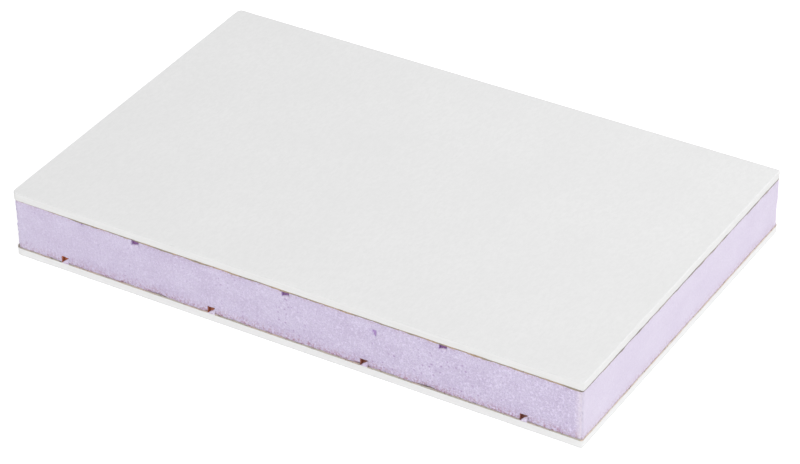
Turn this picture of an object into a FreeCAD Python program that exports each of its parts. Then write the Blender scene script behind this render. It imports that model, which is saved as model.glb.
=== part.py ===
"""Foam-cored sandwich board: a grooved foam core glued between two flat sheets.

The board lies flat. X runs along its length, Y along its width and Z upwards,
with the origin at the middle of its underside. All sizes are in millimetres.
From the underside up, its layers are the bottom skin, a glue film, the foam
core, a second glue film and the top skin. Venting grooves are sawn across both
faces of the foam, the upper ones half a pitch along from the lower ones. The
lower film also lines the lower grooves.
"""

import os

import FreeCAD
import Part
import Sketcher
from FreeCAD import Vector

# Driving dimensions: alias, value, meaning.
SIZES = [
    ("board_length", 224.0, "overall, along X"),
    ("board_width", 145.0, "overall, along Y"),
    ("skin_thick", 3.0, "each facing sheet"),
    ("core_thick", 19.6, "foam, between the two glue films"),
    ("glue_thick", 0.2, "each glue film between foam and skin"),
    ("lining_thick", 0.4, "glue on the walls of a lower groove"),
    ("corner_radius", 0.8, "upright corners of every layer"),
    ("arris_radius", 0.35, "outer edges of both skins"),
    ("groove_width", 3.0, "every groove in the foam"),
    ("groove_depth", 2.5, "every groove in the foam"),
    ("groove_pitch", 60.4, "between grooves of the same face"),
    ("groove_start", 21.1, "left end to the first lower groove's middle"),
]

# Heights of each layer's underside, stacked with no gaps.
ON_GROUND = "0"
ON_BOTTOM_SKIN = "Sizes.skin_thick"
ON_LOWER_FILM = "Sizes.skin_thick + Sizes.glue_thick"
ON_CORE = "Sizes.skin_thick + Sizes.glue_thick + Sizes.core_thick"
ON_UPPER_FILM = "Sizes.skin_thick + 2 * Sizes.glue_thick + Sizes.core_thick"

# Middles of the first groove of each face, from the board's middle.
LOWER_GROOVE_X = "-Sizes.board_length / 2 + Sizes.groove_start"
UPPER_GROOVE_X = LOWER_GROOVE_X + " + Sizes.groove_pitch / 2"

DOC = FreeCAD.newDocument("sandwich_board")


def make_sheet():
    """The spreadsheet that every sub-part reads its sizes from."""
    sheet = DOC.addObject("Spreadsheet::Sheet", "Sizes")
    for row, (alias, value, meaning) in enumerate(SIZES, start=1):
        sheet.set(f"A{row}", alias)
        sheet.set(f"B{row}", str(value))
        sheet.set(f"C{row}", meaning)
        sheet.setAlias(f"B{row}", alias)
    DOC.recompute()


def origin_item(body, role):
    """One of the body's own origin features, such as XY_Plane or X_Axis."""
    return next(item for item in body.Origin.OriginFeatures if item.Role == role)


def rectangle_sketch(body, name, role, left, bottom, width, height):
    """A rectangle on one of the body's origin planes, sized by expressions."""
    sketch = body.newObject("Sketcher::SketchObject", name)
    sketch.AttachmentSupport = [(origin_item(body, role), "")]
    sketch.MapMode = "FlatFace"
    corners = [Vector(0, 0, 0), Vector(1, 0, 0), Vector(1, 1, 0), Vector(0, 1, 0)]
    for start, end in zip(corners, corners[1:] + corners[:1]):
        sketch.addGeometry(Part.LineSegment(start, end))
    for side in range(4):
        sketch.addConstraint(Sketcher.Constraint("Coincident", side, 2, (side + 1) % 4, 1))
    for side, kind in enumerate(["Horizontal", "Vertical", "Horizontal", "Vertical"]):
        sketch.addConstraint(Sketcher.Constraint(kind, side))
    dimensions = [
        ("left", "DistanceX", (-1, 1, 0, 1), left),
        ("bottom", "DistanceY", (-1, 1, 0, 1), bottom),
        ("width", "DistanceX", (0, 1, 0, 2), width),
        ("height", "DistanceY", (1, 1, 1, 2), height),
    ]
    for label, kind, points, size in dimensions:
        index = sketch.addConstraint(Sketcher.Constraint(kind, *points, 1.0))
        sketch.renameConstraint(index, label)
        sketch.setExpression(f"Constraints.{label}", size)
    return sketch


def edges_where(shape, wanted):
    """The names of the shape's edges for which wanted(bounding box) is true."""
    return [f"Edge{n}" for n, edge in enumerate(shape.Edges, start=1) if wanted(edge.BoundBox)]


def round_edges(body, name, wanted, radius):
    """A fillet on the edges of the body's last feature that wanted() picks."""
    DOC.recompute()
    base = body.Tip
    fillet = body.newObject("PartDesign::Fillet", name)
    fillet.Base = (base, edges_where(base.Shape, wanted))
    fillet.setExpression("Radius", radius)


def layer(name, thickness, underside):
    """A body holding a flat layer with the board's outline and rounded corners."""
    body = DOC.addObject("PartDesign::Body", name)
    body.Label = name
    body.setExpression("Placement.Base.z", underside)
    sheet = body.newObject("PartDesign::Pad", f"{name}_sheet")
    sheet.Profile = rectangle_sketch(
        body,
        f"{name}_outline",
        "XY_Plane",
        left="-Sizes.board_length / 2",
        bottom="-Sizes.board_width / 2",
        width="Sizes.board_length",
        height="Sizes.board_width",
    )
    sheet.setExpression("Length", thickness)
    round_edges(body, f"{name}_corners", lambda box: box.ZLength > box.DiagonalLength / 2,
                "Sizes.corner_radius")
    return body


def skin(name, underside, outer_face):
    """A facing sheet. The edges round its outer face are eased."""
    body = layer(name, "Sizes.skin_thick", underside)
    DOC.recompute()
    local = body.Tip.Shape.BoundBox
    height = local.ZMax if outer_face == "top" else local.ZMin
    round_edges(body, f"{name}_arris",
                lambda box: abs(box.ZMin - height) < 1e-6 and abs(box.ZMax - height) < 1e-6,
                "Sizes.arris_radius")
    return body


def groove_feature(body, kind, name, middle, half_width, bottom, height):
    """A Pad or Pocket of a groove's section, the full width of the board."""
    feature = body.newObject(f"PartDesign::{kind}", name)
    feature.Profile = rectangle_sketch(
        body,
        f"{name}_section",
        "XZ_Plane",
        left=f"{middle} - ({half_width})",
        bottom=bottom,
        width=f"2 * ({half_width})",
        height=height,
    )
    feature.SideType = "Symmetric"
    feature.setExpression("Length", "Sizes.board_width")
    return feature


def repeat_grooves(body, name, features, middle):
    """The features again at every groove pitch, as far as the board reaches."""
    pattern = body.newObject("PartDesign::LinearPattern", name)
    pattern.Originals = features
    pattern.Direction = (origin_item(body, "X_Axis"), [""])
    pattern.Mode = "Spacing"
    pattern.setExpression("Offset", "Sizes.groove_pitch")
    reach = f"Sizes.board_length / 2 - Sizes.groove_width - ({middle})"
    pattern.setExpression("Occurrences", f"floor(({reach}) / Sizes.groove_pitch) + 1")
    body.Tip = pattern


def foam_core():
    """The foam, with the lower and the upper venting grooves."""
    body = layer("foam_core", "Sizes.core_thick", ON_LOWER_FILM)
    faces = [
        ("lower_groove", LOWER_GROOVE_X, "0"),
        ("upper_groove", UPPER_GROOVE_X, "Sizes.core_thick - Sizes.groove_depth"),
    ]
    for name, middle, bottom in faces:
        groove = groove_feature(body, "Pocket", name, middle,
                                "Sizes.groove_width / 2", bottom, "Sizes.groove_depth")
        repeat_grooves(body, f"{name}s", [groove], middle)
    return body


def lower_glue_film():
    """The film under the foam. It lines each lower groove and leaves it hollow."""
    body = layer("lower_glue_film", "Sizes.glue_thick", ON_BOTTOM_SKIN)
    lining = groove_feature(body, "Pad", "groove_lining", LOWER_GROOVE_X,
                            "Sizes.groove_width / 2", "0",
                            "Sizes.glue_thick + Sizes.groove_depth")
    repeat_grooves(body, "groove_linings", [lining], LOWER_GROOVE_X)
    hollow = groove_feature(body, "Pocket", "groove_hollow", LOWER_GROOVE_X,
                            "Sizes.groove_width / 2 - Sizes.lining_thick", "0",
                            "Sizes.glue_thick + Sizes.groove_depth - Sizes.lining_thick")
    repeat_grooves(body, "groove_hollows", [hollow], LOWER_GROOVE_X)
    return body


def check_document():
    """Stops the build if any object of the document failed to recompute."""
    DOC.recompute()
    failed = [item.Name for item in DOC.Objects if {"Invalid", "Error"} & set(item.State)]
    if failed:
        raise RuntimeError(f"these objects failed: {failed}")


def export(bodies):
    """Writes each body's solid to parts/, under its own label."""
    os.makedirs("parts", exist_ok=True)
    for body in bodies:
        shape = body.Shape
        if shape.isNull() or not shape.isValid():
            raise RuntimeError(f"{body.Label} has no valid shape")
        shape.exportStep(os.path.join("parts", f"{body.Label}.step"))
        print(f"{body.Label}: {len(shape.Solids)} solid, {shape.Volume:.1f} mm3")


make_sheet()
sub_parts = [
    skin("bottom_skin", ON_GROUND, "bottom"),
    lower_glue_film(),
    foam_core(),
    layer("upper_glue_film", "Sizes.glue_thick", ON_CORE),
    skin("top_skin", ON_UPPER_FILM, "top"),
]
check_document()
export(sub_parts)
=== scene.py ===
"""Faced foam insulation board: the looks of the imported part.

The two white sheets, the sawn foam and the glue between them are rebuilt as
relief meshes in the places that the CAD nodes hold. Lengths in the helper
calls are in millimetres and are turned into metres when a mesh is made.
"""

import math
import random

import bpy
from mathutils import Matrix, Vector, noise


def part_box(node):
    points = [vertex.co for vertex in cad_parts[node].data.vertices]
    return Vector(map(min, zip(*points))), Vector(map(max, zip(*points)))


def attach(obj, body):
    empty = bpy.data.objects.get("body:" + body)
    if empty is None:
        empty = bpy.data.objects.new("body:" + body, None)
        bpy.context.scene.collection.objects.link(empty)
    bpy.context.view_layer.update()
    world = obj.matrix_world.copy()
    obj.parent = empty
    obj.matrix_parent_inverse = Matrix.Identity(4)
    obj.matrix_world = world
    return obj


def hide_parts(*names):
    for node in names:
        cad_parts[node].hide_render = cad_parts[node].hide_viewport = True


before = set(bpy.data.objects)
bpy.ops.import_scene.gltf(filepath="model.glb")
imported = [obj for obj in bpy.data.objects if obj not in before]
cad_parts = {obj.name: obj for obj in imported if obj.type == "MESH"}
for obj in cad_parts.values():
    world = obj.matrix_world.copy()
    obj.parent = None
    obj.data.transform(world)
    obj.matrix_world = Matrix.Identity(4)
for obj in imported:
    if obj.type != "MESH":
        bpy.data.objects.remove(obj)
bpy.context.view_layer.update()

MM = 0.001
STEP = 0.46  # spacing of the foam's relief
CORNER = 0.8  # upright corners of every layer
WORN_CORNER = 2.0  # the same, at the left end
ARRIS = 0.35  # outer edges of the sheets
GLUE = 0.2  # thickness of a glue film
HALF_WIDTH = 72.5  # of the board, from its middle to its front or back

# Material slots, in the order in which the materials are handed to Shape.build.
FACE, EDGE, DUST_AND_BOUNCE_LIGHT = range(3)  # of a sheet
SAWN, CUT, SHADED_FOAM, LIT_GROOVE_BASE = range(4)  # of the foam
DUST, BEHIND = range(2)  # of a mouth fill


# ---------------------------------------------------------------- measuring

def box_mm(node):
    """A CAD node's lowest and highest corners, in millimetres."""
    low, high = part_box(node)
    return low / MM, high / MM


def heights(node):
    """The heights at which a CAD node has vertices, from low to high."""
    return sorted({round(v.co.z / MM, 3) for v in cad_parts[node].data.vertices})


def walls_at(node, height):
    """The X places of a CAD node's vertices at one height, in pairs."""
    places = sorted({
        round(v.co.x / MM, 3)
        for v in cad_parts[node].data.vertices
        if abs(v.co.z / MM - height) < 0.01
    })
    return list(zip(places[0::2], places[1::2]))


def spaced(stops, step):
    """Every stop, with even steps of about the given size between them."""
    lines = [stops[0]]
    for start, end in zip(stops, stops[1:]):
        count = max(1, round((end - start) / step))
        lines += [start + (end - start) * n / count for n in range(1, count + 1)]
    return lines


def ripple(x, y, z=0.0):
    """Smooth noise between about -1 and 1."""
    return noise.noise(Vector((x, y, z)))


def lift(value):
    """Noise moved up to lie between 0 and 1."""
    return min(1.0, max(0.0, 0.5 + 0.5 * value))


def fade(distance, reach):
    """1 at no distance, falling away over about the given reach."""
    return math.exp(-max(0.0, distance) / reach)


# ------------------------------------------------------------- mesh building

class Shape:
    """Points and faces collected in millimetres, and built as one object."""

    def __init__(self):
        self.points = []
        self.faces = []
        self.slots = []

    def point(self, x, y, z):
        """Adds a point and gives back its number."""
        self.points.append((x, y, z))
        return len(self.points) - 1

    def face(self, corners, slot=0):
        """Adds a face, its corners counted anticlockwise from outside."""
        self.faces.append(corners)
        self.slots.append(slot)

    def strip(self, first, second, slot=0, closed=False):
        """Quads between two equal rows of points."""
        last = len(first) if closed else len(first) - 1
        for a in range(last):
            b = (a + 1) % len(first)
            self.face((first[a], first[b], second[b], second[a]), slot)

    def build(self, name, materials, record_slot, *nodes, crease=40):
        """Makes the object, on the root body, in place of the CAD nodes named."""
        mesh = bpy.data.meshes.new(name)
        mesh.from_pydata([(x * MM, y * MM, z * MM) for x, y, z in self.points], [], self.faces)
        for material in materials:
            mesh.materials.append(material)
        mesh.polygons.foreach_set("material_index", self.slots)
        mesh.polygons.foreach_set("use_smooth", [True] * len(self.faces))
        mesh.update()
        mesh.set_sharp_from_angle(angle=math.radians(crease))
        piece = bpy.data.objects.new(name, mesh)
        bpy.context.scene.collection.objects.link(piece)
        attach(piece, "root")
        if nodes:
            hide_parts(*nodes)
        return piece


def round_corner(x, y, low, high, radius):
    """Bends a square outline's corner, and all insets of it, into an arc."""
    u = abs(x - (low.x + high.x) / 2) - ((high.x - low.x) / 2 - radius)
    v = abs(y - (low.y + high.y) / 2) - ((high.y - low.y) / 2 - radius)
    if u <= 0 or v <= 0:
        return x, y
    reach = max(u, v)
    turn = math.pi / 4 * (v / u) if u >= v else math.pi / 2 - math.pi / 4 * (u / v)
    side_x = 1 if x > (low.x + high.x) / 2 else -1
    side_y = 1 if y > (low.y + high.y) / 2 else -1
    return (x + side_x * (reach * math.cos(turn) - u),
            y + side_y * (reach * math.sin(turn) - v))


def corner_at(x):
    """The radius of the upright corners on this side of the middle."""
    return WORN_CORNER if x < 0 else CORNER


def outward(x, y, low, high, radius):
    """The outward direction at a point of the rounded outline."""
    u = max(0.0, abs(x - (low.x + high.x) / 2) - ((high.x - low.x) / 2 - radius))
    v = max(0.0, abs(y - (low.y + high.y) / 2) - ((high.y - low.y) / 2 - radius))
    side_x = 1 if x > (low.x + high.x) / 2 else -1
    side_y = 1 if y > (low.y + high.y) / 2 else -1
    length = math.hypot(u, v) or 1.0
    return side_x * u / length, side_y * v / length


# ----------------------------------------------------------------- materials

class Nodes:
    """A node material, with short calls for the nodes used here."""

    def __init__(self, name, roughness, specular=0.5):
        self.material = bpy.data.materials.new(name)
        self.material.use_nodes = True
        self.tree = self.material.node_tree
        self.shader = self.tree.nodes["Principled BSDF"]
        self.shader.inputs["Roughness"].default_value = roughness
        self.shader.inputs["Specular IOR Level"].default_value = specular
        self.place = self.new("ShaderNodeTexCoord").outputs["Object"]

    def new(self, kind, **settings):
        """A node of this kind, with its settings."""
        node = self.tree.nodes.new(kind)
        for key, value in settings.items():
            setattr(node, key, value)
        return node

    def link(self, source, target):
        self.tree.links.new(source, target)

    def stretched(self, x, y, z):
        """The object's coordinates, scaled. Numbers are features per millimetre."""
        mapping = self.new("ShaderNodeMapping")
        mapping.inputs["Scale"].default_value = (x / MM, y / MM, z / MM)
        self.link(self.place, mapping.inputs["Vector"])
        return mapping.outputs["Vector"]

    def noise(self, vector, detail=2.0, roughness=0.5, distortion=0.0):
        """Fractal noise, from 0 to 1 and mostly near 0.5."""
        node = self.new("ShaderNodeTexNoise")
        node.inputs["Scale"].default_value = 1.0
        node.inputs["Detail"].default_value = detail
        node.inputs["Roughness"].default_value = roughness
        node.inputs["Distortion"].default_value = distortion
        self.link(vector, node.inputs["Vector"])
        return node.outputs["Fac"]

    def cells(self, vector):
        """The distance to the nearest of some scattered points."""
        node = self.new("ShaderNodeTexVoronoi")
        node.inputs["Scale"].default_value = 1.0
        self.link(vector, node.inputs["Vector"])
        return node.outputs["Distance"]

    def ranged(self, value, low, high, to_low=0.0, to_high=1.0, smooth=False):
        """A value moved from one range to another, and held inside it."""
        node = self.new("ShaderNodeMapRange")
        node.interpolation_type = "SMOOTHSTEP" if smooth else "LINEAR"
        for key, number in zip(("From Min", "From Max", "To Min", "To Max"),
                               (low, high, to_low, to_high)):
            node.inputs[key].default_value = number
        self.link(value, node.inputs["Value"])
        return node.outputs["Result"]

    def math(self, operation, first, second):
        """Two values joined. A value is a number or a socket."""
        node = self.new("ShaderNodeMath", operation=operation)
        for socket, value in zip(node.inputs, (first, second)):
            if isinstance(value, (int, float)):
                socket.default_value = value
            else:
                self.link(value, socket)
        return node.outputs["Value"]

    def mix(self, amount, first, second):
        """One colour turning into another. A colour is three numbers or a socket."""
        node = self.new("ShaderNodeMix", data_type="RGBA")
        factor, colour_a, colour_b = node.inputs[0], node.inputs[6], node.inputs[7]
        for socket, value in ((factor, amount), (colour_a, first), (colour_b, second)):
            if isinstance(value, (tuple, float)):
                socket.default_value = (*value, 1.0) if isinstance(value, tuple) else value
            else:
                self.link(value, socket)
        return node.outputs[2]

    def along(self, axis):
        """The place along X, Y or Z, in millimetres."""
        node = self.new("ShaderNodeSeparateXYZ")
        self.link(self.stretched(1, 1, 1), node.inputs[0])
        return node.outputs[axis]

    def scatter(self, weight, reach):
        """Lets light through the material, over a reach in millimetres."""
        self.shader.inputs["Subsurface Weight"].default_value = weight
        self.shader.inputs["Subsurface Radius"].default_value = (1.0, 0.85, 1.0)
        self.shader.inputs["Subsurface Scale"].default_value = reach * MM

    def finish(self, colour, roughness=None, bumps=()):
        """Links the colour, the roughness and a chain of bumps, each a
        height, a distance in millimetres and a strength.
        """
        self.link(colour, self.shader.inputs["Base Color"])
        if roughness is not None:
            self.link(roughness, self.shader.inputs["Roughness"])
        normal = None
        for height, distance, strength in bumps:
            node = self.new("ShaderNodeBump")
            node.inputs["Distance"].default_value = distance * MM
            node.inputs["Strength"].default_value = strength
            self.link(height, node.inputs["Height"])
            if normal is not None:
                self.link(normal, node.inputs["Normal"])
            normal = node.outputs["Normal"]
        if normal is not None:
            self.link(normal, self.shader.inputs["Normal"])
        return self.material


def sheet_face_material():
    """The outer face of a sheet: satin white, faintly mottled and embossed."""
    n = Nodes("sheet_face", 0.55, 0.2)
    clouds = n.noise(n.stretched(0.035, 0.035, 0.035), 3.0)
    mottle = n.noise(n.stretched(0.9, 0.45, 0.9), 3.0, 0.6, 0.4)
    grain = n.noise(n.stretched(2.6, 2.6, 2.6), 2.0, 0.6)
    spots = n.ranged(n.cells(n.stretched(0.16, 0.16, 0.16)), 0.035, 0.075, 1.0, 0.0, True)
    patches = n.ranged(n.noise(n.stretched(0.05, 0.05, 0.05), 2.0), 0.5, 0.62)
    base = n.mix(n.ranged(clouds, 0.3, 0.7), (0.765, 0.765, 0.765), (0.785, 0.785, 0.785))
    base = n.mix(n.ranged(mottle, 0.35, 0.65, 0.0, 0.65), base, (0.735, 0.735, 0.735))
    base = n.mix(n.math("MULTIPLY", spots, n.math("MULTIPLY", patches, 0.16)), base, (0.56, 0.56, 0.55))
    rough = n.ranged(mottle, 0.3, 0.7, 0.52, 0.64)
    return n.finish(base, rough, [(mottle, 0.05, 0.35), (grain, 0.02, 0.35)])


def sheet_edge_material():
    """The cut edge of a sheet: brighter and rougher, with lines along the cut. It is painted lighter low down,
    for light bounced from the floor, and painted darker at the right end as shade.
    """
    n = Nodes("sheet_edge", 0.6, 0.35)
    lines = n.noise(n.stretched(0.10, 0.10, 3.2), 3.0, 0.6, 0.3)
    chatter = n.noise(n.stretched(1.5, 1.5, 0.7), 3.0, 0.6)
    base = n.mix(n.ranged(lines, 0.3, 0.7), (0.82, 0.82, 0.815), (0.76, 0.76, 0.75))
    base = n.mix(n.ranged(chatter, 0.55, 0.8, 0.0, 0.35), base, (0.72, 0.72, 0.70))
    # painted shade: the edges are darkened over the last 1.2 mm at the right end, to tone down the key lamp's
    # light on that end
    end = box_mm("top_skin")[1].x
    base = n.mix(n.ranged(n.along("X"), end - 1.2, end - 0.4, 0.0, 0.7), base, (0.73, 0.73, 0.725))
    # painted light: below 2 to 4 mm, on the lower sheet, the edge is lightened for the light that the floor
    # bounces onto it
    base = n.mix(n.ranged(n.along("Z"), 2.0, 4.0, 0.5, 0.0), base, (0.88, 0.88, 0.875))
    return n.finish(base, None, [(lines, 0.06, 0.5), (chatter, 0.05, 0.4)])


def foam_material(name, pale, mid, deep, torn, grain, scatter=0.0):
    """Extruded foam: fine cells, drag streaks and a stain beside the glue.

    Torn is how rough the cut is, and 1 is the sawn front and back. The grain
    is two strengths, at the board's left and right ends.
    """
    n = Nodes(name, 0.85, 0.2)
    n.scatter(scatter, 2.5)
    low, high = box_mm("foam_core")
    cell = n.noise(n.stretched(1.15, 1.15, 1.0), 3.0, 0.8, 0.5)
    fine = n.noise(n.stretched(1.7, 1.7, 1.9), 4.0, 0.85)
    broad = n.noise(n.stretched(0.07, 0.07, 0.11), 3.0)
    streak = n.noise(n.stretched(1.4, 1.4, 0.55), 4.0, 0.75, 0.6)
    above = n.math("SUBTRACT", n.along("Z"), low.z)
    below = n.math("SUBTRACT", high.z, n.along("Z"))
    strength = n.ranged(n.along("X"), low.x, high.x, *grain)
    near_bottom = n.ranged(above, 0.0, 5.5, 1.0, 0.0)
    near_top = n.ranged(below, 0.0, 2.2, 1.0, 0.0)
    base = n.mix(n.ranged(broad, 0.38, 0.62), pale, mid)
    dark_grain = n.math("MULTIPLY", n.ranged(fine, 0.48, 0.60, 0.0, 0.8), strength)
    base = n.mix(dark_grain, base, (0.76 * mid[0], 0.70 * mid[1], 0.84 * mid[2]))
    pale_grain = n.math("MULTIPLY", n.ranged(cell, 0.50, 0.62, 0.0, 0.75), strength)
    base = n.mix(pale_grain, base, tuple(min(1.0, 1.18 * c) for c in pale))
    dots = n.ranged(n.cells(n.stretched(0.52, 0.52, 0.57)), 0.11, 0.30, 0.6, 0.0, True)
    scattered = n.ranged(n.noise(n.stretched(0.09, 0.09, 0.09), 3.0, 0.6), 0.48, 0.60)
    base = n.mix(n.math("MULTIPLY", n.math("MULTIPLY", dots, scattered), strength), base, deep)
    chips = n.ranged(n.cells(n.stretched(0.44, 0.44, 0.50)), 0.07, 0.19, 0.42, 0.0, True)
    clumps = n.ranged(n.noise(n.stretched(0.22, 0.22, 0.26), 3.0, 0.7), 0.46, 0.58)
    pale_chips = n.math("MULTIPLY", n.math("MULTIPLY", chips, clumps), strength)
    base = n.mix(pale_chips, base, (0.86, 0.84, 0.88))
    marked = n.ranged(streak, 0.50, 0.64)
    dragged = n.math("ADD", n.math("MULTIPLY", near_bottom, 0.55 * torn), 0.08 * torn)
    amount = n.math("MULTIPLY", marked, dragged)
    base = n.mix(amount, base, n.mix(near_bottom, deep, (0.44, 0.25, 0.40)))
    specks = n.ranged(n.noise(n.stretched(1.2, 1.2, 1.3), 3.0, 0.75), 0.51, 0.57)
    edge = n.math("MAXIMUM", n.ranged(above, 0.2, 4.4, 1.0, 0.0), n.math("MULTIPLY", near_top, 0.8))
    stain = n.math("MULTIPLY", specks, n.math("POWER", edge, 1.7))
    stain = n.math("MULTIPLY", stain, n.ranged(n.along("X"), low.x, low.x + 50, 0.45, 1.0))
    base = n.mix(n.math("MULTIPLY", stain, 0.25 + 0.65 * torn), base, (0.40, 0.18, 0.25))
    if torn == 1.0:  # paler beside the right end
        paler_by_end = n.math("MULTIPLY", n.ranged(n.along("X"), high.x - 3.2, high.x - 0.5),
                        n.ranged(streak, 0.36, 0.56, 0.3, 0.9))
        base = n.mix(paler_by_end, base, (0.80, 0.73, 0.81))
    return n.finish(base, None, [(fine, 0.25, 0.3 + 0.45 * torn), (streak, 0.2, 0.35 * torn)])


def glue_material(name, body, thin, speck, end_body, end_thin):
    """Cured glue: its body colour, another where it is thin, and dark specks.

    The right end has colours of its own.
    """
    n = Nodes(name, 0.45, 0.4)
    end = box_mm("foam_core")[1].x
    runs = n.noise(n.stretched(0.10, 0.10, 0.4), 3.0, 0.65)
    dots = n.noise(n.stretched(1.1, 1.1, 1.6), 3.0, 0.7)
    thinned = n.ranged(runs, 0.47, 0.60)
    at_end = n.ranged(n.along("X"), end - 0.9, end - 0.5)
    base = n.mix(at_end, n.mix(thinned, body, thin), n.mix(thinned, end_body, end_thin))
    base = n.mix(n.ranged(dots, 0.54, 0.66, 0.0, 0.8), base, speck)
    return n.finish(base, n.ranged(dots, 0.3, 0.7, 0.3, 0.6), [(dots, 0.08, 0.5)])


def lining_material():
    """Glue that foamed in a groove: orange at the left, dark brown at the right."""
    n = Nodes("glue_lining", 0.35, 0.5)
    froth = n.cells(n.stretched(1.8, 1.1, 1.8))
    runs = n.noise(n.stretched(0.5, 0.2, 0.7), 3.0, 0.6)
    low, high = box_mm("foam_core")
    orange = n.mix(n.ranged(runs, 0.35, 0.65), (0.47, 0.130, 0.042), (0.31, 0.075, 0.030))
    brown = n.mix(n.ranged(runs, 0.35, 0.65), (0.27, 0.075, 0.042), (0.15, 0.040, 0.028))
    base = n.mix(n.ranged(n.along("X"), low.x + 40, high.x - 60), orange, brown)
    base = n.mix(n.ranged(froth, 0.45, 0.8, 0.0, 0.45), base, (0.15, 0.05, 0.03))
    return n.finish(base, None, [(froth, 0.2, 0.6)])


def dust_and_bounce_light_material():
    """The glued face of a sheet, lilac where the grooves leave it bare: partly foam dust, partly painted bounce
    light from the foam.
    """
    n = Nodes("sheet_dust_and_bounce_light", 0.8, 0.2)
    n.scatter(0.8, 3.0)
    # lilac tones: partly foam dust, partly painted bounce light, the foam's colour cast on the white sheet in
    # the grooves' shade
    dust = n.noise(n.stretched(1.2, 0.8, 1.2), 3.0, 0.7)
    return n.finish(n.mix(n.ranged(dust, 0.35, 0.65), (0.86, 0.80, 0.94), (0.76, 0.68, 0.88)))


# -------------------------------------------------------------------- sheets

SHEET_INSETS = [0.0, 0.03, 0.07, 0.12, 0.18, 0.26, 0.35, 0.55, 0.8, 1.3, 2.0]


def sheet_lines(low, high):
    """Grid lines across a sheet, closer together near its edges."""
    inner = spaced([low + SHEET_INSETS[-1], high - SHEET_INSETS[-1]], 1.0)
    return ([low + inset for inset in SHEET_INSETS[:-1]] + inner
            + [high - inset for inset in reversed(SHEET_INSETS[:-1])])


def edge_wander(place, seed):
    """How far a sheet's cut edge wanders inwards, along its length."""
    return 0.10 * lift(ripple(place / 34, seed)) + 0.05 * lift(1.6 * ripple(place / 6, seed + 3))


def make_sheet(node, seed, up):
    """A sheet with eased outer edges, a wandering cut and a faintly uneven face."""
    low, high = box_mm(node)
    outer, inner, sign = (high.z, low.z, 1) if up else (low.z, high.z, -1)
    xs, ys = sheet_lines(low.x, high.x), sheet_lines(low.y, high.y)
    shape = Shape()

    def wander(x, y):
        """Moves a point inwards with the cut edges near it."""
        dx = (edge_wander(y, seed) * fade(x - low.x, 2.0)
              - edge_wander(y, seed + 10) * fade(high.x - x, 2.0))
        dy = (edge_wander(x, seed + 20) * fade(y - low.y, 2.0)
              - edge_wander(x, seed + 30) * fade(high.y - y, 2.0))
        return x + dx, y + dy

    def face_point(x, y):
        """A point of the outer face, with its eased edge and faint unevenness."""
        inset = min(x - low.x, high.x - x, y - low.y, high.y - y)
        drop = 0.0
        if inset < ARRIS:
            drop = ARRIS - math.sqrt(max(0.0, ARRIS ** 2 - (ARRIS - inset) ** 2))
        uneven = 0.035 * lift(ripple(x / 26, y / 22, seed)) + 0.012 * lift(ripple(x / 5, y / 7, seed + 5))
        nick = 0.05 * lift(3 * ripple(x / 2.1, y / 2.1, seed + 9) - 1.2) * fade(inset, 0.4)
        return (*wander(*round_corner(x, y, low, high, corner_at(x))), outer - sign * (drop + uneven + nick))

    grid = [[shape.point(*face_point(x, y)) for y in ys] for x in xs]
    for i in range(len(xs) - 1):
        for j in range(len(ys) - 1):
            quad = (grid[i][j], grid[i + 1][j], grid[i + 1][j + 1], grid[i][j + 1])
            shape.face(quad if up else quad[::-1], FACE)

    rim = ([(i, 0) for i in range(len(xs) - 1)]
           + [(len(xs) - 1, j) for j in range(len(ys) - 1)]
           + [(i, len(ys) - 1) for i in range(len(xs) - 1, 0, -1)]
           + [(0, j) for j in range(len(ys) - 1, 0, -1)])
    above = [grid[i][j] for i, j in rim]
    levels = spaced([outer - sign * ARRIS, inner], 0.33)[1:]
    for level in levels:
        row = []
        for i, j in rim:
            radius = corner_at(xs[i])
            x, y = round_corner(xs[i], ys[j], low, high, radius)
            nx, ny = outward(x, y, low, high, radius)
            along = x + y
            depth = abs(outer - level)
            scored = 0.05 * fade(abs(depth - 1.0 - 0.15 * ripple(along / 20, seed)), 0.12)
            rough = 0.05 * lift(ripple(along / 1.6, level / 0.8, seed + 40))
            worn = 0.10 * lift(2 * ripple(along / 3.0, seed + 50) - 0.6) * fade(abs(level - inner), 0.3)
            cut = scored + rough + worn
            x, y = wander(x, y)
            row.append(shape.point(x - nx * cut, y - ny * cut, level))
        first, second = (row, above) if up else (above, row)
        shape.strip(first, second, EDGE, closed=True)
        above = row
    shape.face(above[::-1] if up else above, DUST_AND_BOUNCE_LIGHT)
    return shape.build(f"{node}_sheet", [SHEET_FACE, SHEET_EDGE, SHEET_DUST_AND_BOUNCE_LIGHT], "skin", node)


# ---------------------------------------------------------------------- foam

def make_pits(length, height, seed, count):
    """Torn cells: place along the side, height, radius and depth."""
    chance = random.Random(seed)
    pits = []
    for _ in range(count):
        low_down = chance.random() < 0.45
        level = height * (0.02 + 0.25 * chance.random() if low_down else chance.random())
        pits.append((length * (chance.random() - 0.5), level,
                     chance.uniform(0.35, 0.9), chance.uniform(0.10, 0.34)))
    return pits


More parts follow.
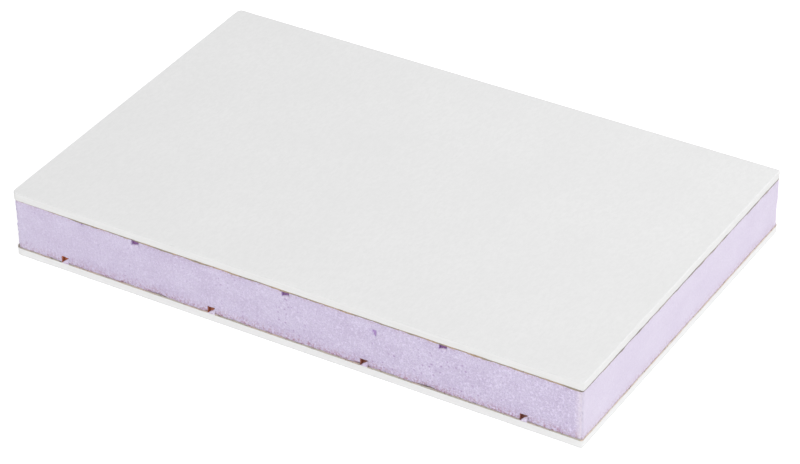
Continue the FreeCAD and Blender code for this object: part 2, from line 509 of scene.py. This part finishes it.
class Relief:
    """How far one side of the foam is cut back from flat, place by place."""

    def __init__(self, seed, length, low, high, rough, mouths, gouges=()):
        self.seed, self.low, self.high, self.rough = seed, low, high, rough
        self.mouths, self.gouges = mouths, gouges
        self.bins = {}
        count = int(length * (0.9 if rough > 0.8 else 0.35))
        for pit in make_pits(length, high - low, seed, count):
            for key in range(int((pit[0] - 1) // 2), int((pit[0] + 1) // 2) + 1):
                self.bins.setdefault(key, []).append(pit)

    def depth(self, along, z):
        """How far in the surface is, in millimetres, at a place along the side."""
        s, level, top = self.seed, z - self.low, self.high - z
        cut = 0.10 + 0.10 * lift(ripple(along / 22, z / 12, s))
        cut += self.rough * 0.07 * ripple(along / 1.9, z / 1.5, s + 2)
        cut += self.rough * 0.06 * ripple(along / 0.75, z / 0.7, s + 4)
        torn = fade(level, 3.5) + 0.5 * fade(top, 1.5)
        dragged = lift(1.8 * ripple(along / 0.8 + 1.5 * ripple(along / 5, z / 5, s), z / 2.4, s + 6))
        cut += self.rough * 0.22 * torn * dragged * lift(2.2 * ripple(along / 4.2, z / 6, s + 16) + 0.2)
        cut += 0.34 * fade(min(level, top), 0.28) * (0.75 + 0.35 * ripple(along / 2.4, s + 8))
        for place, wide, radius, deep in self.bins.get(int(along // 2), ()):
            away = math.hypot(along - place, level - wide) / radius
            if away < 1:
                cut += self.rough * deep * (1 - away * away)
        for place, reach_x, reach_z, middle in self.mouths:
            away = math.hypot(max(0, abs(along - place) - reach_x), max(0, abs(z - middle) - reach_z))
            cut += 0.22 * fade(away, 0.45) * lift(0.6 + ripple(along / 0.8, z / 0.8, s + 12))
        for gouge in self.gouges:
            cut += gouge(along, z)
        return max(0.0, cut)


def gouge_corner(x, z):
    """A torn triangle in the front, deepest at its upper right corner."""
    u, v = (x - 31.3) / 3.4, (19.3 - z) / 3.2
    if not (0 <= u <= 1 and 0 <= v <= 1) or v > u ** 1.5 + 0.12:
        return 0.0
    return 1.1 * u * (1 - v) ** 0.5 * min(1.0, 6 * v + 0.5)


def scratch_below(x, z):
    """The thin scratch that runs down from the torn triangle."""
    return 0.28 * fade(abs(x - 34.3), 0.25) if 11.5 < z < 17 else 0.0


def nick_under_sheet(x, z):
    """Torn foam just under the top sheet, near the left end."""
    near = math.hypot((x + 83.2) / 1.2, (z - 22.3) / 1.6)
    return max(0.0, 1.2 * (1 - near)) + 0.8 * fade(abs(x + 77.5), 1.6) * fade(22.8 - z, 0.45)


def bottom_break(x, z):
    """Crumbled foam along the bottom of the front."""
    return sum(0.5 * fade(abs(x - place), 2.2) * fade(z - 3.2, 0.7) for place in (-52.0, 28.5, 53.5, 55.5))


def left_hollow(y, z):
    """The left end's front corner leans in towards the bottom."""
    return 0.28 * fade(y + HALF_WIDTH, 9.0) * (1 - abs(z - 8.5) / 14)


def back_corner_break(y, z):
    """Foam missing low down at the right end's back corner."""
    if z >= 13.0:
        return 0.0
    return 0.4 * fade(HALF_WIDTH - y, 1.6) * min(1.0, max(0.0, z - 3.4) / 1.2)


def make_foam():
    """The foam core, with relief on its four sides and open venting grooves."""
    low, high = box_mm("foam_core")
    bottom, ceiling, floor, top = heights("foam_core")
    lower, upper = walls_at("foam_core", ceiling), walls_at("foam_core", floor)
    xs = spaced(sorted([low.x, high.x] + [x for pair in lower + upper for x in pair]), STEP)
    ys = spaced([low.y, high.y], STEP)
    zs = spaced([bottom, bottom + 0.2, bottom + 0.5, ceiling, floor, top - 0.5, top - 0.2, top], STEP)
    column = {round(x, 3): i for i, x in enumerate(xs)}
    row_ceiling = min(range(len(zs)), key=lambda j: abs(zs[j] - ceiling))
    row_floor = min(range(len(zs)), key=lambda j: abs(zs[j] - floor))
    mouths = ([((a + b) / 2, (b - a) / 2, (ceiling - bottom) / 2, (bottom + ceiling) / 2) for a, b in lower]
              + [((a + b) / 2, (b - a) / 2, (top - floor) / 2, (floor + top) / 2) for a, b in upper])
    long, wide = high.x - low.x, high.y - low.y
    relief = {
        "front": Relief(11, long, bottom, top, 1.0, mouths,
                        [gouge_corner, scratch_below, nick_under_sheet, bottom_break]),
        "back": Relief(23, long, bottom, top, 1.0, mouths),
        "left": Relief(37, wide, bottom, top, 0.7, [], [left_hollow]),
        "right": Relief(51, wide, bottom, top, 0.45, [], [back_corner_break]),
    }
    shape = Shape()

    def side_point(x, y, z):
        """A point of the outline, cut back by the relief of the side it is on."""
        radius = corner_at(x)
        x, y = round_corner(x, y, low, high, radius)
        nx, ny = outward(x, y, low, high, radius)
        along_x = relief["right" if nx > 0 else "left"].depth(y, z) if nx else 0.0
        along_y = relief["back" if ny > 0 else "front"].depth(x, z) if ny else 0.0
        crumble = 0.0
        if nx and ny:
            crumble = 0.5 * lift(1.8 * ripple(z / 1.2, nx * 3, ny * 3) + 0.1)
        cut = along_x * abs(nx) + along_y * abs(ny) + crumble * min(1.0, 4 * abs(nx * ny))
        return shape.point(x - nx * cut, y - ny * cut, z)

    def inside_groove(i, j):
        """Whether a grid point is strictly inside a groove's section."""
        x = xs[i]
        return (any(a + 0.01 < x < b - 0.01 for a, b in lower) and j < row_ceiling
                or any(a + 0.01 < x < b - 0.01 for a, b in upper) and j > row_floor)

    front, back = ([[None if inside_groove(i, j) else side_point(x, y, z) for j, z in enumerate(zs)]
                    for i, x in enumerate(xs)] for y in (low.y, high.y))
    left, right = ([ends[0]] + [[side_point(x, y, z) for z in zs] for y in ys[1:-1]] + [ends[1]]
                   for x, ends in ((low.x, (front[0], back[0])), (high.x, (front[-1], back[-1]))))

    def torn_slot(x, z, y):
        """The cut colour at the right end, and the painted-shade colour well inside a tear."""
        side = "front" if y < 0 else "back"
        if high.x - x < 0.6:
            return CUT
        return SHADED_FOAM if sum(gouge(x, z) for gouge in relief[side].gouges) > 0.52 else SAWN

    def open_cell(i, j):
        """Whether a cell of the grid lies in a groove's mouth."""
        middle = (xs[i] + xs[i + 1]) / 2
        return (any(a < middle < b for a, b in lower) and j < row_ceiling
                or any(a < middle < b for a, b in upper) and j >= row_floor)

    for i in range(len(xs) - 1):
        for j in range(len(zs) - 1):
            if not open_cell(i, j):
                x, z = (xs[i] + xs[i + 1]) / 2, (zs[j] + zs[j + 1]) / 2
                shape.face((front[i][j], front[i + 1][j], front[i + 1][j + 1], front[i][j + 1]),
                           torn_slot(x, z, -1))
                shape.face((back[i][j + 1], back[i + 1][j + 1], back[i + 1][j], back[i][j]),
                           torn_slot(x, z, 1))
    for k in range(len(ys) - 1):
        for j in range(len(zs) - 1):
            shape.face((right[k][j], right[k + 1][j], right[k + 1][j + 1], right[k][j + 1]), CUT)
            shape.face((left[k][j + 1], left[k + 1][j + 1], left[k + 1][j], left[k][j]), CUT)

    depths = spaced([low.y, low.y + 4], 0.5)[1:] + spaced([low.y + 4, high.y - 4], 5)[1:-1]
    depths += spaced([high.y - 4, high.y], 0.5)[:-1]

    def groove(a, b, rim, inner, is_lower):
        """The walls of one groove. Gives back its left and right rims, front to back."""
        i0, i1 = column[round(a, 3)], column[round(b, 3)]
        step = 1 if inner > rim else -1
        path = ([(i0, j) for j in range(rim, inner, step)] + [(i, inner) for i in range(i0, i1)]
                + [(i1, j) for j in range(inner, rim - step, -step)])
        rows = [[front[i][j] for i, j in path]]
        for y in depths:
            row = []
            for i, j in path:
                x, z = xs[i], zs[j]
                into = 0.0 if is_lower or j == rim else 0.06 * lift(ripple(x + z, y / 1.5, z / 1.5))
                x += into if i == i0 else (-into if i == i1 else 0)
                row.append(shape.point(x, y, z))
            rows.append(row)
        rows.append([back[i][j] for i, j in path])
        for near, far in zip(rows, rows[1:]):
            for p, ((_, j), (_, m)) in enumerate(zip(path, path[1:])):
                # the walls take the darker copy of the foam, painted shade, and the groove's innermost face
                # takes the paler copy, painted light
                slot = LIT_GROOVE_BASE if j == m else SHADED_FOAM
                quad = (near[p], far[p], far[p + 1], near[p + 1])
                shape.face(quad if is_lower else quad[::-1], slot)
        return [row[0] for row in rows], [row[-1] for row in rows]

    last = len(zs) - 1
    for pairs, rim, inner, is_lower in ((lower, 0, row_ceiling, True), (upper, last, row_floor, False)):
        rims = [groove(a, b, rim, inner, is_lower) for a, b in pairs]
        starts = [[points[rim] for points in left]] + [pair[1] for pair in rims]
        ends = [pair[0] for pair in rims] + [[points[rim] for points in right]]
        stops = [0] + [column[round(x, 3)] for pair in pairs for x in pair] + [len(xs) - 1]
        for n, (start, end) in enumerate(zip(starts, ends)):
            i0, i1 = stops[2 * n], stops[2 * n + 1]
            land = [front[i][rim] for i in range(i0, i1)] + end
            land += [back[i][rim] for i in range(i1 - 1, i0 - 1, -1)] + start[-2:0:-1]
            shape.face(land[::-1] if is_lower else land)
    return shape.build("foam_block", [FOAM_SAWN, FOAM_CUT, FOAM_GROOVE_SHADE, FOAM_LIT_GROOVE_BASE],
                       "foam", "foam_core", crease=70)


# ---------------------------------------------------------------------- glue

def make_film(name, node, material, sheet_face, sign, lands, seed, starved=0):
    """A glue film with an uneven bead round its outer edge, one slab for each land.

    Where the glue is starved, the bead is missing for so far from the left end.
    """
    low, high = box_mm(node)
    shape = Shape()
    for x0, x1 in lands:
        across, back = spaced([x0, x1], 0.8), spaced([low.y, high.y], 0.8)
        outline = ([(x, low.y) for x in across[:-1]] + [(x1, y) for y in back[:-1]]
                   + [(x, high.y) for x in across[:0:-1]] + [(x0, y) for y in back[:0:-1]])
        rings = [[], [], [], []]
        for x, y in outline:
            radius = corner_at(x)
            x, y = round_corner(x, y, low, high, radius)
            nx, ny = outward(x, y, low, high, radius)
            if not nx and not ny:
                nx = -1 if x < (x0 + x1) / 2 else 1
                bead, inset = GLUE, 0.05
            else:
                wave = x * 1.3 + y
                full = min(1.0, max(0.0, (x - low.x - starved) / 25)) if starved else 1.0
                bead = GLUE + full * (0.10 + 0.36 * lift(2.0 * ripple(wave / 4.5, seed) - 0.15))
                bead += full * 0.14 * lift(2.2 * ripple(wave / 1.5, seed + 4) - 0.2)
                inset = 0.02 + 0.14 * lift(1.4 * ripple(wave / 2.3, seed + 9) - 0.2) + 0.14 * (1 - full)
            profile = ((inset, 0.0), (max(0.0, inset - 0.04), bead * 0.5),
                       (inset + 0.06, bead), (inset + 0.7, GLUE))
            for ring, (back_off, level) in zip(rings, profile):
                ring.append(shape.point(x - nx * back_off, y - ny * back_off, sheet_face - sign * level))
        for first, second in zip(rings, rings[1:]):
            if sign > 0:
                shape.strip(second, first, closed=True)
            else:
                shape.strip(first, second, closed=True)
        shape.face(rings[0] if sign > 0 else rings[0][::-1])
        shape.face(rings[3][::-1] if sign > 0 else rings[3])
    return shape.build(name, [material], "glue", node)


def make_linings(pairs):
    """The glue that lines each lower groove, as an uneven channel open below."""
    low, high = box_mm("lower_glue_film")
    levels = heights("lower_glue_film")
    foot, top = levels[0], levels[-1]
    shape = Shape()
    ys = [low.y + 0.3] + spaced([low.y + 1.4, low.y + 8], 0.5) + spaced([low.y + 8, high.y - 8], 4)[1:-1]
    ys += spaced([high.y - 8, high.y - 1.4], 0.5) + [high.y - 0.3]
    for x0, x1 in pairs:
        rise = spaced([foot, top], 0.4)
        outer_path = [(x0, z) for z in rise[:-1]] + [(x, top) for x in spaced([x0, x1], 0.4)]
        outer_path += [(x1, z) for z in rise[-2::-1]]
        middle_x = (x0 + x1) / 2
        rows = []
        for n, y in enumerate(ys):
            first, second = [], []
            for x, z in outer_path:
                coat = 0.07 + 0.05 * ripple(x / 1.1, y / 1.6, z / 1.1)
                coat += 0.24 * lift(4 * (middle_x - x) / (x1 - x0) - 0.6)
                ix = max(x0 + coat, min(x1 - coat, x))
                iz = min(z, top - coat)
                ragged = 0.0
                if n in (0, len(ys) - 1):
                    ragged = 0.25 * lift(ripple(x / 0.7, z / 0.7, x0))
                    ragged += 0.7 * lift(3 * (x - middle_x) / (x1 - x0))
                    ragged *= 1 if n == 0 else -1
                first.append(shape.point(x, y + ragged, z))
                second.append(shape.point(ix, y + ragged, iz))
            rows.append((first, second))
        for (near_out, near_in), (far_out, far_in) in zip(rows, rows[1:]):
            shape.strip(near_out, far_out)
            shape.strip(far_in, near_in)
            shape.face((near_out[0], near_in[0], far_in[0], far_out[0]))
            shape.face((near_in[-1], near_out[-1], far_out[-1], far_in[-1]))
        shape.strip(rows[0][1], rows[0][0])
        shape.strip(rows[-1][0], rows[-1][1])
    return shape.build("groove_linings", [LINING], "glue")


DUST_ENDS = 1.0  # how far in from a mouth the pale dust reaches


def make_mouth_fill(name, pairs, bed, roof, crest_left, crest_right, behind, record_slot):
    """What shows just inside each groove's mouths, at the front and the back.

    Pale foam dust lies in front, with a crest that runs from one share of the
    groove's height at the left to another at the right. Behind it, another
    material rises to the roof.
    """
    low, high = box_mm("foam_core")
    shape = Shape()
    tall = roof - bed - 0.08
    for x0, x1 in pairs:
        xs, depths = spaced([x0 + 0.2, x1 - 0.12], 0.2), spaced([0.25, DUST_ENDS, 1.6, 2.2], 0.15)
        for mouth, inward in ((low.y, 1), (high.y, -1)):
            rows = []
            for deep in depths:
                row = []
                for x in xs:
                    across = (x - x0) / (x1 - x0)
                    crest = crest_left + (crest_right - crest_left) * across + 0.10 * ripple(x / 0.7, mouth, x0)
                    crest = min(0.96, max(0.0, crest))
                    rise = crest * min(1.0, (deep - 0.2) / 0.4)
                    rise += (1.0 - crest) * min(1.0, max(0.0, (deep - DUST_ENDS) / 0.6))
                    rise += 0.05 * ripple(x / 0.5, deep / 0.5, mouth + x0)
                    z = bed + 0.04 + tall * min(1.0, max(0.0, rise))
                    row.append(shape.point(x, mouth + inward * deep, z))
                rows.append(row)
            rim = rows[0] + [row[-1] for row in rows[1:]] + rows[-1][-2::-1] + [row[0] for row in rows[-2:0:-1]]
            foot = [shape.point(*shape.points[p][:2], bed + 0.01) for p in rim]
            for deep, near, far in zip(depths, rows, rows[1:]):
                first, second = (near, far) if inward > 0 else (far, near)
                shape.strip(first, second, BEHIND if deep > DUST_ENDS - 0.05 else DUST)
            first, second = (foot, rim) if inward > 0 else (rim, foot)
            shape.strip(first, second, DUST, closed=True)
            shape.face(foot[::-1] if inward > 0 else foot, DUST)
    return shape.build(name, [FOAM_DUST, behind], record_slot)


# --------------------------------------------------------------------- stage

def seen_rays(tree):
    """1 for a ray that shows the room: from the camera, or by a gloss or glass."""
    path = tree.nodes.new("ShaderNodeLightPath")
    total = path.outputs["Is Camera Ray"]
    for kind in ("Is Glossy Ray", "Is Transmission Ray"):
        both = tree.nodes.new("ShaderNodeMath")
        both.operation = "ADD"
        both.use_clamp = True
        tree.links.new(total, both.inputs[0])
        tree.links.new(path.outputs[kind], both.inputs[1])
        total = both.outputs[0]
    return total


FLOOR_GLOW = 0.45  # added where the floor is seen, so that it is white outside the shadow


def make_floor():
    """A plain white floor that keeps the board's soft shadow."""
    bpy.ops.mesh.primitive_plane_add(size=6.0, location=(0, 0, 0))
    floor = bpy.context.object
    floor.name = "floor"
    material = bpy.data.materials.new("floor_white")
    material.use_nodes = True
    tree = material.node_tree
    tree.nodes.clear()
    output = tree.nodes.new("ShaderNodeOutputMaterial")
    diffuse = tree.nodes.new("ShaderNodeBsdfDiffuse")
    diffuse.inputs["Color"].default_value = (0.85, 0.85, 0.85, 1)
    glow = tree.nodes.new("ShaderNodeEmission")
    seen = tree.nodes.new("ShaderNodeMath")
    seen.operation = "MULTIPLY"
    seen.inputs[1].default_value = FLOOR_GLOW
    total = tree.nodes.new("ShaderNodeAddShader")
    tree.links.new(seen_rays(tree), seen.inputs[0])
    tree.links.new(seen.outputs[0], glow.inputs["Strength"])
    tree.links.new(diffuse.outputs[0], total.inputs[0])
    tree.links.new(glow.outputs[0], total.inputs[1])
    tree.links.new(total.outputs[0], output.inputs["Surface"])
    floor.data.materials.append(material)


def make_world():
    """An even white room, seen as plain white."""
    world = bpy.data.worlds.new("studio")
    bpy.context.scene.world = world
    world.use_nodes = True
    tree = world.node_tree
    shade = tree.nodes["Background"]
    level = tree.nodes.new("ShaderNodeMapRange")
    level.inputs["To Min"].default_value = 0.5
    level.inputs["To Max"].default_value = 1.0
    tree.links.new(seen_rays(tree), level.inputs["Value"])
    tree.links.new(level.outputs["Result"], shade.inputs["Strength"])
    shade.inputs["Color"].default_value = (1, 1, 1, 1)


def make_lamp(name, place, aim, size, power):
    """A square soft box at a place, turned towards a point. Metres and watts."""
    lamp = bpy.data.lights.new(name, "AREA")
    lamp.shape = "RECTANGLE"
    lamp.size, lamp.size_y = size
    lamp.energy = power
    holder = bpy.data.objects.new(name, lamp)
    bpy.context.scene.collection.objects.link(holder)
    holder.location = place
    holder.rotation_euler = (Vector(aim) - Vector(place)).to_track_quat("-Z", "Y").to_euler()


def make_camera():
    """The camera: 31 degrees round from the front, 34 degrees up, barely rolled."""
    turn, rise, roll = (math.radians(angle) for angle in (31.05, 33.78, -0.62))
    distance = 1.2036
    aim = Vector((-2.87, 6.33, 0.0)) * MM
    away = Vector((math.sin(turn) * math.cos(rise), -math.cos(turn) * math.cos(rise), math.sin(rise)))
    right = (-away).cross(Vector((0, 0, 1))).normalized()
    up = right.cross(-away)
    across = right * math.cos(roll) + up * math.sin(roll)
    upright = up * math.cos(roll) - right * math.sin(roll)
    data = bpy.data.cameras.new("camera")
    data.sensor_width = 36.0
    data.lens = 153.84
    data.clip_start, data.clip_end = 0.05, 20.0
    camera = bpy.data.objects.new("camera", data)
    bpy.context.scene.collection.objects.link(camera)
    pose = Matrix((across, upright, away)).transposed().to_4x4()
    pose.translation = aim + away * distance
    camera.matrix_world = pose
    bpy.context.scene.camera = camera


# --------------------------------------------------------------------- build

SHEET_FACE, SHEET_EDGE = sheet_face_material(), sheet_edge_material()
SHEET_DUST_AND_BOUNCE_LIGHT = dust_and_bounce_light_material()
FOAM_SAWN = foam_material(
    "foam_sawn", (0.698, 0.640, 0.798), (0.634, 0.566, 0.730), (0.36, 0.21, 0.46), 1.0, (0.50, 1.1))
# the ends' paler, greyer colours come partly from their smoother cut and partly from painted sheen of the lamps
# on these faces
FOAM_CUT = foam_material(
    "foam_cut", (0.722, 0.668, 0.792), (0.698, 0.640, 0.770), (0.50, 0.39, 0.60), 0.35, (0.24, 0.24))
# painted shade: a darker, deeper purple copy of the foam, for the groove walls and the deepest tears
FOAM_GROOVE_SHADE = foam_material(
    "foam_groove", (0.52, 0.37, 0.66), (0.46, 0.31, 0.60), (0.30, 0.16, 0.46), 0.6, (0.5, 0.5), 0.5)
# painted light: a paler copy of the foam, for the grooves' innermost faces
FOAM_LIT_GROOVE_BASE = foam_material(
    "foam_groove_bed", (0.78, 0.70, 0.86), (0.72, 0.63, 0.82), (0.45, 0.30, 0.60), 0.5, (0.5, 0.5), 0.8)
FOAM_SHADE = foam_material(
    "foam_shade", (0.31, 0.16, 0.37), (0.26, 0.13, 0.32), (0.17, 0.08, 0.24), 0.5, (0.5, 0.5))
FOAM_DUST = foam_material(
    "foam_dust", (0.74, 0.67, 0.82), (0.68, 0.60, 0.78), (0.50, 0.36, 0.62), 0.3, (0.4, 0.4))
GLUE_ABOVE = glue_material("glue_above", (0.31, 0.26, 0.20), (0.46, 0.33, 0.22), (0.10, 0.08, 0.06),
                           (0.20, 0.17, 0.15), (0.34, 0.29, 0.25))
GLUE_BELOW = glue_material("glue_below", (0.45, 0.41, 0.35), (0.54, 0.43, 0.37), (0.15, 0.13, 0.11),
                           (0.62, 0.50, 0.42), (0.66, 0.58, 0.52))
LINING = lining_material()

make_sheet("bottom_skin", 2.5, up=False)
make_sheet("top_skin", 7.5, up=True)
make_foam()

foam_low, foam_high = box_mm("foam_core")
grooves = walls_at("foam_core", heights("foam_core")[1])
edges = [foam_low.x] + [x for pair in grooves for x in pair] + [foam_high.x]
make_film("lower_glue", "lower_glue_film", GLUE_BELOW, box_mm("bottom_skin")[1].z, -1,
          list(zip(edges[0::2], edges[1::2])), 61.5)
make_film("upper_glue", "upper_glue_film", GLUE_ABOVE, box_mm("top_skin")[0].z, 1,
          [(foam_low.x, foam_high.x)], 71.5, starved=8)
make_linings(grooves)
_, roof_below, bed_above, roof_above = heights("foam_core")
make_mouth_fill("lower_mouth_fill", grooves, box_mm("bottom_skin")[1].z, roof_below - 0.25,
                -0.05, 0.90, LINING, "foam")
make_mouth_fill("upper_mouth_fill", walls_at("foam_core", bed_above), bed_above, roof_above,
                0.04, 0.34, FOAM_SHADE, "foam")

make_floor()
make_world()
make_lamp("key", (1.6, -0.9, 1.0), (0, 0, 0.02), (1.2, 1.2), 17.2)
make_lamp("fill", (-0.9, -1.5, 1.1), (0, 0, 0.02), (1.4, 1.2), 12.4)
make_lamp("overhead", (0.45, 0.62, 0.85), (0, 0, 0.02), (0.6, 0.6), 4.35)
make_camera()

bpy.context.scene.view_settings.view_transform = "Standard"
